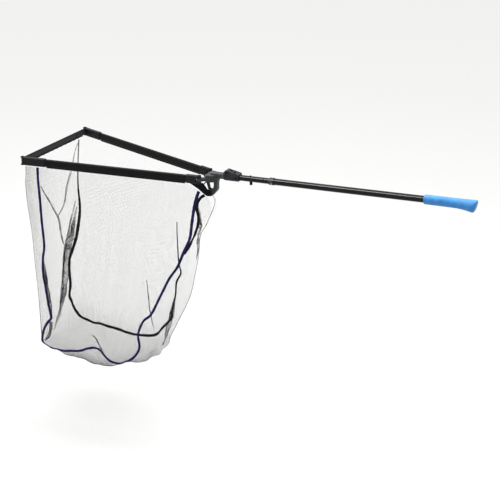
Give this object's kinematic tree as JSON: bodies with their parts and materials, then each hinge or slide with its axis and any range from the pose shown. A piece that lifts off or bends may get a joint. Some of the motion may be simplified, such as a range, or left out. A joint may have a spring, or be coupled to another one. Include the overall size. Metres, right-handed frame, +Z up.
{
  "type": "landing net",
  "caption": "Folding landing net: telescopic handle with a soft grip, fold-over hub, swinging arms with a webbing front and a deep mesh bag.",
  "frame": {"origin": "the middle of the hand grip, on the axis of the pole", "axes": "+X from the net towards the rear end of the grip, in the level of the net's mouth; +Z up, out of the mouth; -Y the near arm's side"},
  "size_m": [1.4462, 0.3568, 0.8104],
  "materials": {
    "pole_black": "gloss black anodised",
    "collar_plastic": "moulded",
    "steel": "zinc plated",
    "grip_foam": "satin blue rubber",
    "hub_plastic": "moulded, fine spark texture",
    "band_metal": "brushed",
    "arm_black": "satin black",
    "cap_plastic": "moulded",
    "webbing": "woven polypropylene webbing",
    "rim_tape": "woven tape",
    "net_mesh": "knotless nylon mesh"
  },
  "bodies": {
    "handle": {"outer_pole": "pole_black", "pole_collar": "collar_plastic", "collar_rivet": "steel", "grip": "grip_foam", "butt_plug": "collar_plastic"},
    "shaft": {"inner_pole": "pole_black", "inner_plug": "collar_plastic", "clip_spring": "steel", "clip_rivet": "steel", "hinge_housing": "hub_plastic", "housing_rivet": "steel", "fold_pin": "steel", "latch_spring": "steel"},
    "pole_button": {"snap_button": "collar_plastic"},
    "latch": {"latch_button": "hub_plastic"},
    "head": {"hinge_knuckle": "hub_plastic", "knuckle_band": "band_metal", "yoke": "hub_plastic", "near_pivot_rivet": "steel", "far_pivot_rivet": "steel", "front_strap": "webbing", "rear_band": "rim_tape", "foot_rivet": "steel", "bag_front": "net_mesh", "bag_near": "net_mesh", "bag_far": "net_mesh", "bag_rear": "net_mesh", "bag_floor": "net_mesh"},
    "near_side": {"near_arm_cap": "cap_plastic", "near_arm": "arm_black", "near_tip": "cap_plastic", "near_tip_pin": "steel", "near_hem": "rim_tape"},
    "far_side": {"far_arm_cap": "cap_plastic", "far_arm": "arm_black", "far_tip": "cap_plastic", "far_tip_pin": "steel", "far_hem": "rim_tape"}
  },
  "joints": [
    {"name": "pole_slide", "type": "slide", "parent": "handle", "child": "shaft", "axis": [-0.9966, 0, -0.0819], "range_m": [0, 0.515]},
    {"name": "button_press", "type": "slide", "parent": "shaft", "child": "pole_button", "axis": [-0.0819, 0, 0.9966], "range_m": [0, 0.009], "stiffness_N_per_m": 400, "springref_m": -0.004, "deforming": ["clip_spring"]},
    {"name": "latch_press", "type": "slide", "parent": "shaft", "child": "latch", "axis": [0.0819, 0, -0.9966], "range_m": [0, 0.002], "stiffness_N_per_m": 800, "springref_m": -0.002, "deforming": ["latch_spring"]},
    {"name": "head_fold", "type": "hinge", "parent": "shaft", "child": "head", "pos_m": [-0.70186, 0, -0.04265], "axis": [0, 1, 0], "range_deg": [0, 172]},
    {"name": "near_arm_swing", "type": "hinge", "parent": "head", "child": "near_side", "pos_m": [-0.78544, -0.035, -0.07327], "axis": [0, 0, -1], "range_deg": [0, 13.3], "deforming": ["front_strap"]},
    {"name": "far_arm_swing", "type": "hinge", "parent": "head", "child": "far_side", "pos_m": [-0.78544, 0.035, -0.07327], "axis": [0, 0, 1], "range_deg": [0, 13.3]}
  ],
  "couplings": [
    {"joint": "far_arm_swing", "follows": "near_arm_swing", "ratio": 1}
  ]
}
